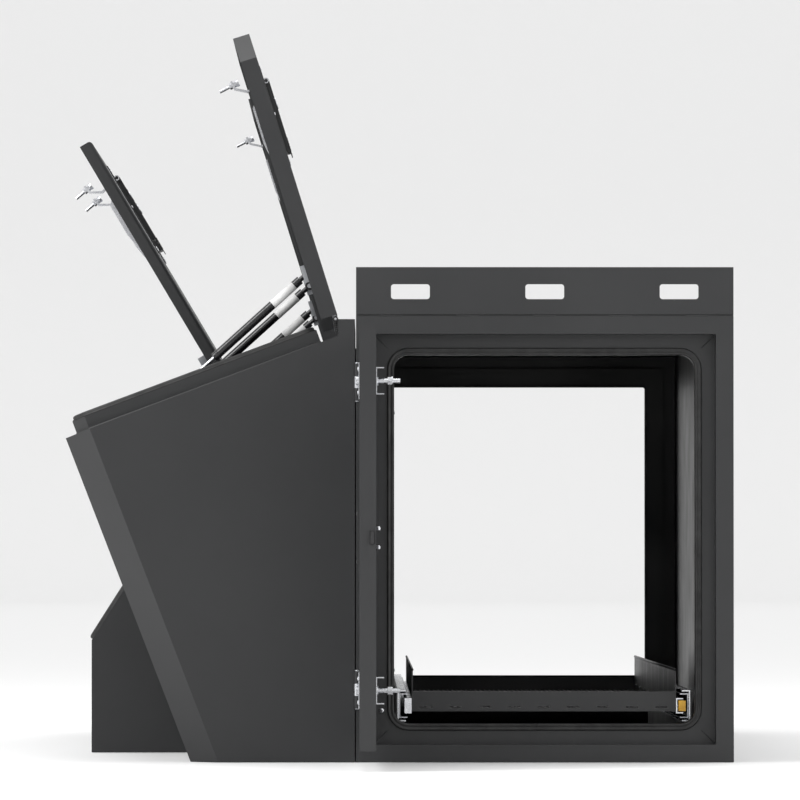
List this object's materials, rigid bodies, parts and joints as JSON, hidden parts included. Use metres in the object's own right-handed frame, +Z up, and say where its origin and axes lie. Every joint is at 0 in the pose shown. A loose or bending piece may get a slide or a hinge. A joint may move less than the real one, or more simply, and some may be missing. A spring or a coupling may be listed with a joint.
{
  "type": "truck tool box",
  "caption": "Across-the-bed truck tool box: a through box with end doors and a long drawer, and sloping boxes with three gas-strut lids behind.",
  "frame": {"origin": "bottom of the through box on its wall next to the side boxes, at mid width", "axes": "+X from the side boxes to the through box, +Y across the truck, +Z up"},
  "size_m": [1.1569, 3.6736, 1.2422],
  "materials": {
    "powder_black": "satin black powder coat with a fine texture",
    "cast_black": "satin black coated casting",
    "strut_black": "semi-gloss black paint",
    "zinc": "bright zinc plate",
    "steel": "plain steel",
    "rubber": "matt black sponge rubber",
    "yellow_plastic": "moulded amber plastic"
  },
  "bodies": {
    "box": {"tunnel_shell": "powder_black", "end_frame_near": "powder_black", "end_frame_far": "powder_black", "door_seals": "rubber", "rail_near": "powder_black", "rail_far": "powder_black", "side_box_near": "powder_black", "side_box_far": "powder_black", "middle_box": "powder_black", "lid_rim_near": "powder_black", "lid_rim_far": "powder_black", "lid_rim_middle": "powder_black", "lid_seals": "rubber", "lid_hinge_fixed_leaves": "powder_black", "door_hinge_fixed_leaves": "powder_black", "hinge_pins": "steel", "strut_lower_brackets": "zinc", "slide_outer_channels": "zinc"},
    "lid_near": {"lid_skin_near": "powder_black", "lid_pan_near": "powder_black", "lid_hardware_near": "steel", "lid_latch_housing_near": "zinc"},
    "latch_near": {"latch_handle_near": "cast_black", "latch_arm_near": "zinc"},
    "tubes_near": {"strut_tubes_near": "strut_black"},
    "rods_near": {"strut_rods_near": "zinc"},
    "door_near": {"door_skin_near": "powder_black", "door_pan_near": "powder_black", "door_hinges_near": "zinc", "door_latch_near": "cast_black"},
    "paddle_near": {"door_paddle_near": "cast_black"},
    "bolt_near": {"door_bolt_near": "cast_black"},
    "lid_far": {"lid_skin_far": "powder_black", "lid_pan_far": "powder_black", "lid_hardware_far": "steel", "lid_latch_housing_far": "zinc"},
    "latch_far": {"latch_handle_far": "cast_black", "latch_arm_far": "zinc"},
    "tubes_far": {"strut_tubes_far": "strut_black"},
    "rods_far": {"strut_rods_far": "zinc"},
    "door_far": {"door_skin_far": "powder_black", "door_pan_far": "powder_black", "door_hinges_far": "zinc", "door_latch_far": "cast_black"},
    "paddle_far": {"door_paddle_far": "cast_black"},
    "bolt_far": {"door_bolt_far": "cast_black"},
    "lid_middle": {"lid_skin_middle": "powder_black", "lid_pan_middle": "powder_black", "lid_hardware_middle": "steel", "lid_latch_housings_middle": "zinc"},
    "latch_middle_a": {"latch_handle_middle_a": "cast_black", "latch_arm_middle_a": "zinc"},
    "latch_middle_b": {"latch_handle_middle_b": "cast_black", "latch_arm_middle_b": "zinc"},
    "tubes_middle": {"strut_tubes_middle": "strut_black"},
    "rods_middle": {"strut_rods_middle": "zinc"},
    "drawer": {"drawer_tray": "powder_black", "slide_inner_members": "zinc"},
    "slide_middles": {"slide_middle_members": "steel"},
    "lock_lever": {"slide_lock_lever": "yellow_plastic"}
  },
  "joints": [
    {"name": "lid_near_hinge", "type": "hinge", "parent": "box", "child": "lid_near", "pos_m": [-0.035, 0, 0.754], "axis": [0, 1, 0], "range_deg": [-93.1, 0]},
    {"name": "struts_near_pivot", "type": "hinge", "parent": "lid_near", "child": "tubes_near", "pos_m": [-0.08386, 0, 0.833], "axis": [0, 1, 0], "range_deg": [0, 111.53]},
    {"name": "rods_near_slide", "type": "slide", "parent": "tubes_near", "child": "rods_near", "axis": [-0.7416, 0, -0.6708], "range_m": [-0.0973, 0]},
    {"name": "lid_far_hinge", "type": "hinge", "parent": "box", "child": "lid_far", "pos_m": [-0.035, 0, 0.754], "axis": [0, 1, 0], "range_deg": [-93.1, 0]},
    {"name": "struts_far_pivot", "type": "hinge", "parent": "lid_far", "child": "tubes_far", "pos_m": [-0.08386, 0, 0.833], "axis": [0, 1, 0], "range_deg": [0, 111.53]},
    {"name": "rods_far_slide", "type": "slide", "parent": "tubes_far", "child": "rods_far", "axis": [-0.7416, 0, -0.6708], "range_m": [-0.0973, 0]},
    {"name": "lid_middle_hinge", "type": "hinge", "parent": "box", "child": "lid_middle", "pos_m": [-0.206, 0, 0.632], "axis": [0, 1, 0], "range_deg": [-116.7, 0]},
    {"name": "struts_middle_pivot", "type": "hinge", "parent": "lid_middle", "child": "tubes_middle", "pos_m": [-0.27184, 0, 0.69753], "axis": [0, 1, 0], "range_deg": [0, 129.44]},
    {"name": "rods_middle_slide", "type": "slide", "parent": "tubes_middle", "child": "rods_middle", "axis": [-0.1672, 0, -0.9859], "range_m": [-0.1398, 0]},
    {"name": "latch_near_turn", "type": "hinge", "parent": "lid_near", "child": "latch_near", "pos_m": [-0.15716, -0.8655, 1.17891], "axis": [0, -1, 0], "range_deg": [-10, 25]},
    {"name": "latch_far_turn", "type": "hinge", "parent": "lid_far", "child": "latch_far", "pos_m": [-0.15716, 0.8655, 1.17891], "axis": [0, -1, 0], "range_deg": [-10, 25]},
    {"name": "latch_middle_a_turn", "type": "hinge", "parent": "lid_middle", "child": "latch_middle_a", "pos_m": [-0.43764, -0.24, 1.04109], "axis": [0, -1, 0], "range_deg": [-10, 25]},
    {"name": "latch_middle_b_turn", "type": "hinge", "parent": "lid_middle", "child": "latch_middle_b", "pos_m": [-0.43764, 0.24, 1.04109], "axis": [0, -1, 0], "range_deg": [-10, 25]},
    {"name": "door_near_hinge", "type": "hinge", "parent": "box", "child": "door_near", "pos_m": [0.0017, -1.224, 0.379], "axis": [0, 0, -1], "range_deg": [-90, 60]},
    {"name": "paddle_near_turn", "type": "hinge", "parent": "door_near", "child": "paddle_near", "pos_m": [0.0117, -1.7983, 0.379], "axis": [0, 0, 1], "range_deg": [0, 35]},
    {"name": "bolt_near_slide", "type": "slide", "parent": "door_near", "child": "bolt_near", "axis": [0, 1, 0], "range_m": [0, 0.009]},
    {"name": "door_far_hinge", "type": "hinge", "parent": "box", "child": "door_far", "pos_m": [0.0017, 1.224, 0.379], "axis": [0, 0, 1], "range_deg": [-90, 60]},
    {"name": "paddle_far_turn", "type": "hinge", "parent": "door_far", "child": "paddle_far", "pos_m": [0.0117, 1.7983, 0.379], "axis": [0, 0, -1], "range_deg": [0, 35]},
    {"name": "bolt_far_slide", "type": "slide", "parent": "door_far", "child": "bolt_far", "axis": [0, -1, 0], "range_m": [0, 0.009]},
    {"name": "drawer_slide", "type": "slide", "parent": "slide_middles", "child": "drawer", "axis": [0, -1, 0], "range_m": [0, 0.5]},
    {"name": "middle_slide", "type": "slide", "parent": "box", "child": "slide_middles", "axis": [0, -1, 0], "range_m": [0, 0.5]},
    {"name": "lock_lever_press", "type": "hinge", "parent": "drawer", "child": "lock_lever", "pos_m": [0.557, -1.128, 0.0945], "axis": [1, 0, 0], "range_deg": [0, 8]}
  ],
  "couplings": [
    {"joint": "struts_near_pivot", "follows": "lid_near_hinge", "ratio": -1.1926},
    {"joint": "rods_near_slide", "follows": "lid_near_hinge", "m_per_rad": 0.059292},
    {"joint": "struts_far_pivot", "follows": "lid_far_hinge", "ratio": -1.1926},
    {"joint": "rods_far_slide", "follows": "lid_far_hinge", "m_per_rad": 0.059292},
    {"joint": "struts_middle_pivot", "follows": "lid_middle_hinge", "ratio": -1.1049},
    {"joint": "rods_middle_slide", "follows": "lid_middle_hinge", "m_per_rad": 0.068149},
    {"joint": "bolt_near_slide", "follows": "paddle_near_turn", "m_per_rad": 0.014733},
    {"joint": "bolt_far_slide", "follows": "paddle_far_turn", "m_per_rad": 0.014733},
    {"joint": "middle_slide", "follows": "drawer_slide", "ratio": 1}
  ]
}
